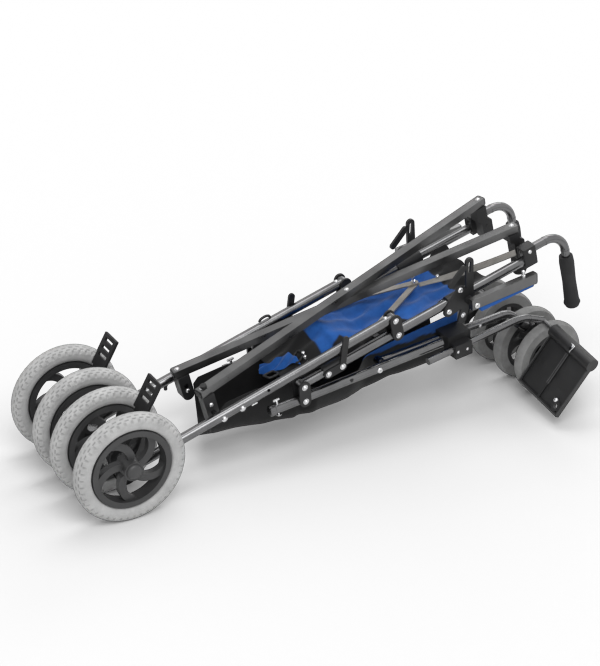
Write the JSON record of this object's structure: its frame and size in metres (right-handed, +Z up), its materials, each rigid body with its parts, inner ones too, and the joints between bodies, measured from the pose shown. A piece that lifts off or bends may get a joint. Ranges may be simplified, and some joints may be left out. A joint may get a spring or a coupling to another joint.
{
  "type": "special needs buggy",
  "caption": "Folding special needs buggy, stored folded flat on its wheels: tube side frames with a scissor brace, twin wheels, cloth slings, push handles, armrests and a hinged footplate.",
  "frame": {"origin": "bottom centre of the folded buggy's bounding box, on the floor", "axes": "+X from the rear wheels to the push handles, +Y to the buggy's left side, +Z up from the floor it lies on"},
  "size_m": [1.2464, 0.4626, 0.4147],
  "materials": {
    "frame_tube": "dark silver metallic enamel",
    "brace_tube": "dark silver metallic enamel",
    "black_bracket": "black moulded nylon",
    "black_plastic": "black grained plastic",
    "rim_plastic": "black moulded plastic",
    "grip_foam": "black foam",
    "axle_steel": "zinc plated",
    "tyre": "grey solid foam rubber",
    "caster_tyre": "grey solid foam rubber on a black rim",
    "black_cloth": "black woven nylon",
    "blue_cloth": "royal blue woven nylon"
  },
  "bodies": {
    "seat_right": {"seat_rail_right": "frame_tube", "seat_hinge_right": "black_bracket", "seat_sling": "black_cloth"},
    "seat_left": {"seat_rail_left": "frame_tube", "seat_hinge_left": "black_bracket"},
    "back_right": {"back_post_right": "frame_tube", "fold_hook_right": "black_bracket", "arm_joint_right": "black_bracket", "handle_block_right": "black_bracket", "back_sling": "blue_cloth"},
    "leg_right": {"rear_leg_right": "frame_tube", "leg_hinge_right": "black_bracket", "axle_carrier_right": "black_bracket", "rear_axle_right": "axle_steel"},
    "front_right": {"front_leg_right": "frame_tube", "footrest_clamp_right": "black_bracket", "hanger_right": "frame_tube"},
    "handle_right": {"handle_cane_right": "frame_tube", "grip_right": "grip_foam"},
    "armrest_right": {"armrest_right": "brace_tube"},
    "pedal_right": {"brake_pedal_right": "black_plastic"},
    "caster_right": {"caster_fork_right": "black_plastic"},
    "rear_wheel_right_outer": {"rear_tyre_right_outer": "tyre", "rear_rim_right_outer": "rim_plastic"},
    "caster_wheel_right_outer": {"caster_wheel_right_outer": "caster_tyre"},
    "rear_wheel_right_inner": {"rear_tyre_right_inner": "tyre", "rear_rim_right_inner": "rim_plastic"},
    "caster_wheel_right_inner": {"caster_wheel_right_inner": "caster_tyre"},
    "low_bracket_right": {"low_bracket_right": "black_bracket"},
    "top_bracket_right": {"top_bracket_right": "black_bracket"},
    "spreader_right": {"spreader_right": "brace_tube"},
    "back_left": {"back_post_left": "frame_tube", "fold_hook_left": "black_bracket", "arm_joint_left": "black_bracket", "handle_block_left": "black_bracket"},
    "leg_left": {"rear_leg_left": "frame_tube", "leg_hinge_left": "black_bracket", "axle_carrier_left": "black_bracket", "rear_axle_left": "axle_steel"},
    "front_left": {"front_leg_left": "frame_tube", "footrest_clamp_left": "black_bracket", "hanger_left": "frame_tube"},
    "handle_left": {"handle_cane_left": "frame_tube", "grip_left": "grip_foam"},
    "armrest_left": {"armrest_left": "brace_tube"},
    "pedal_left": {"brake_pedal_left": "black_plastic"},
    "caster_left": {"caster_fork_left": "black_plastic"},
    "rear_wheel_left_outer": {"rear_tyre_left_outer": "tyre", "rear_rim_left_outer": "rim_plastic"},
    "caster_wheel_left_outer": {"caster_wheel_left_outer": "caster_tyre"},
    "rear_wheel_left_inner": {"rear_tyre_left_inner": "tyre", "rear_rim_left_inner": "rim_plastic"},
    "caster_wheel_left_inner": {"caster_wheel_left_inner": "caster_tyre"},
    "low_bracket_left": {"low_bracket_left": "black_bracket"},
    "top_bracket_left": {"top_bracket_left": "black_bracket"},
    "spreader_left": {"spreader_left": "brace_tube"},
    "brace_over": {"brace_tube_over": "brace_tube"},
    "brace_under": {"brace_tube_under": "brace_tube"},
    "footplate": {"footplate": "black_plastic"}
  },
  "joints": [
    {"name": "fold", "type": "hinge", "parent": "seat_right", "child": "back_right", "pos_m": [-0.09649, -0.03671, 0.16085], "axis": [0, -1, 0], "range_deg": [0, 92], "deforming": ["seat_sling", "back_sling"]},
    {"name": "seat_spread", "type": "slide", "parent": "seat_right", "child": "seat_left", "axis": [0, 1, 0], "range_m": [0, 0.2001]},
    {"name": "back_spread", "type": "slide", "parent": "back_right", "child": "back_left", "axis": [0, 1, 0], "range_m": [0, 0.2001]},
    {"name": "leg_fold_right", "type": "hinge", "parent": "back_right", "child": "leg_right", "pos_m": [0.12783, -0.03671, 0.22815], "axis": [0, -1, 0], "range_deg": [-38.5, 0]},
    {"name": "front_fold_right", "type": "hinge", "parent": "seat_right", "child": "front_right", "pos_m": [0.10791, -0.01621, 0.15483], "axis": [0, -1, 0], "range_deg": [-55.02, 0]},
    {"name": "low_bracket_turn_right", "type": "hinge", "parent": "leg_right", "child": "low_bracket_right", "pos_m": [-0.2855, 0.00054, 0.13476], "axis": [0, -1, 0], "range_deg": [0, 17.42]},
    {"name": "top_bracket_turn_right", "type": "hinge", "parent": "back_right", "child": "top_bracket_right", "pos_m": [0.4582, 0.00054, 0.34773], "axis": [0, -1, 0], "range_deg": [-21.11, 0]},
    {"name": "spreader_turn_right", "type": "hinge", "parent": "back_right", "child": "spreader_right", "pos_m": [0.08769, -0.01171, 0.2255], "axis": [-0.2874, 0, 0.9578], "range_deg": [0, 52.71]},
    {"name": "leg_fold_left", "type": "hinge", "parent": "back_left", "child": "leg_left", "pos_m": [0.12783, 0.15329, 0.22815], "axis": [0, -1, 0], "range_deg": [-38.5, 0]},
    {"name": "front_fold_left", "type": "hinge", "parent": "seat_left", "child": "front_left", "pos_m": [0.10791, 0.13279, 0.15483], "axis": [0, -1, 0], "range_deg": [-55.02, 0]},
    {"name": "low_bracket_turn_left", "type": "hinge", "parent": "leg_left", "child": "low_bracket_left", "pos_m": [-0.2855, 0.11604, 0.13476], "axis": [0, -1, 0], "range_deg": [0, 17.42]},
    {"name": "top_bracket_turn_left", "type": "hinge", "parent": "back_left", "child": "top_bracket_left", "pos_m": [0.4582, 0.11604, 0.34773], "axis": [0, -1, 0], "range_deg": [-21.11, 0]},
    {"name": "spreader_turn_left", "type": "hinge", "parent": "back_left", "child": "spreader_left", "pos_m": [0.08769, 0.12829, 0.2255], "axis": [-0.2874, 0, 0.9578], "range_deg": [-52.71, 0]},
    {"name": "brace_over_turn", "type": "hinge", "parent": "low_bracket_right", "child": "brace_over", "pos_m": [-0.29723, 0.00054, 0.17352], "axis": [-0.2896, 0, 0.9572], "range_deg": [0, 15.52]},
    {"name": "brace_under_turn", "type": "hinge", "parent": "brace_over", "child": "brace_under", "pos_m": [0.0685, 0.05829, 0.28416], "axis": [-0.2896, 0, 0.9572], "range_deg": [-31.02, 0]},
    {"name": "rear_wheel_spin_right_outer", "type": "hinge", "parent": "leg_right", "child": "rear_wheel_right_outer", "pos_m": [-0.50824, -0.09021, 0.115], "axis": [0, -1, 0], "continuous": true},
    {"name": "rear_wheel_spin_right_inner", "type": "hinge", "parent": "leg_right", "child": "rear_wheel_right_inner", "pos_m": [-0.50824, 0.01679, 0.115], "axis": [0, -1, 0], "continuous": true},
    {"name": "caster_wheel_spin_right_outer", "type": "hinge", "parent": "caster_right", "child": "caster_wheel_right_outer", "pos_m": [0.53165, -0.06071, 0.085], "axis": [0, -1, 0], "continuous": true},
    {"name": "caster_wheel_spin_right_inner", "type": "hinge", "parent": "caster_right", "child": "caster_wheel_right_inner", "pos_m": [0.53165, 0.01529, 0.085], "axis": [0, -1, 0], "continuous": true},
    {"name": "caster_swivel_right", "type": "hinge", "parent": "front_right", "child": "caster_right", "pos_m": [0.47939, -0.02271, 0.16065], "axis": [0.8192, 0, -0.5736], "range_deg": [0, 5]},
    {"name": "pedal_turn_right", "type": "hinge", "parent": "leg_right", "child": "pedal_right", "pos_m": [-0.46794, -0.03671, 0.1806], "axis": [0, -1, 0], "range_deg": [0, 25]},
    {"name": "handle_turn_right", "type": "hinge", "parent": "back_right", "child": "handle_right", "pos_m": [0.4582, -0.03671, 0.34773], "axis": [-0.9578, 0, -0.2874], "range_deg": [0, 180]},
    {"name": "armrest_swing_right", "type": "hinge", "parent": "back_right", "child": "armrest_right", "pos_m": [0.29861, -0.07821, 0.27416], "axis": [0, -1, 0], "range_deg": [-95, 0]},
    {"name": "rear_wheel_spin_left_outer", "type": "hinge", "parent": "leg_left", "child": "rear_wheel_left_outer", "pos_m": [-0.50824, 0.20679, 0.115], "axis": [0, -1, 0], "continuous": true},
    {"name": "rear_wheel_spin_left_inner", "type": "hinge", "parent": "leg_left", "child": "rear_wheel_left_inner", "pos_m": [-0.50824, 0.09979, 0.115], "axis": [0, -1, 0], "continuous": true},
    {"name": "caster_wheel_spin_left_outer", "type": "hinge", "parent": "caster_left", "child": "caster_wheel_left_outer", "pos_m": [0.53165, 0.17729, 0.085], "axis": [0, -1, 0], "continuous": true},
    {"name": "caster_wheel_spin_left_inner", "type": "hinge", "parent": "caster_left", "child": "caster_wheel_left_inner", "pos_m": [0.53165, 0.10129, 0.085], "axis": [0, -1, 0], "continuous": true},
    {"name": "caster_swivel_left", "type": "hinge", "parent": "front_left", "child": "caster_left", "pos_m": [0.47939, 0.13929, 0.16065], "axis": [-0.8192, 0, 0.5736], "range_deg": [0, 5]},
    {"name": "pedal_turn_left", "type": "hinge", "parent": "leg_left", "child": "pedal_left", "pos_m": [-0.46794, 0.15329, 0.1806], "axis": [0, -1, 0], "range_deg": [0, 25]},
    {"name": "handle_turn_left", "type": "hinge", "parent": "back_left", "child": "handle_left", "pos_m": [0.4582, 0.15329, 0.34773], "axis": [0.9578, 0, 0.2874], "range_deg": [0, 180]},
    {"name": "armrest_swing_left", "type": "hinge", "parent": "back_left", "child": "armrest_left", "pos_m": [0.29861, 0.19479, 0.27416], "axis": [0, -1, 0], "range_deg": [-95, 0]},
    {"name": "footplate_flip", "type": "hinge", "parent": "front_right", "child": "footplate", "pos_m": [0.51022, -0.05671, 0.17752], "axis": [0, -0.9863, -0.165], "range_deg": [-90, 0]}
  ],
  "couplings": [
    {"joint": "seat_spread", "follows": "fold", "m_per_rad": 0.12456},
    {"joint": "back_spread", "follows": "fold", "m_per_rad": 0.12456},
    {"joint": "leg_fold_right", "follows": "fold", "ratio": -0.41831},
    {"joint": "front_fold_right", "follows": "fold", "ratio": -0.59783},
    {"joint": "low_bracket_turn_right", "follows": "fold", "ratio": 0.18908},
    {"joint": "top_bracket_turn_right", "follows": "fold", "ratio": -0.22923},
    {"joint": "spreader_turn_right", "follows": "fold", "ratio": 0.57275},
    {"joint": "leg_fold_left", "follows": "fold", "ratio": -0.41831},
    {"joint": "front_fold_left", "follows": "fold", "ratio": -0.59783},
    {"joint": "low_bracket_turn_left", "follows": "fold", "ratio": 0.18908},
    {"joint": "top_bracket_turn_left", "follows": "fold", "ratio": -0.22923},
    {"joint": "spreader_turn_left", "follows": "fold", "ratio": -0.57275},
    {"joint": "brace_over_turn", "follows": "fold", "ratio": 0.16845},
    {"joint": "brace_under_turn", "follows": "fold", "ratio": -0.33691}
  ]
}
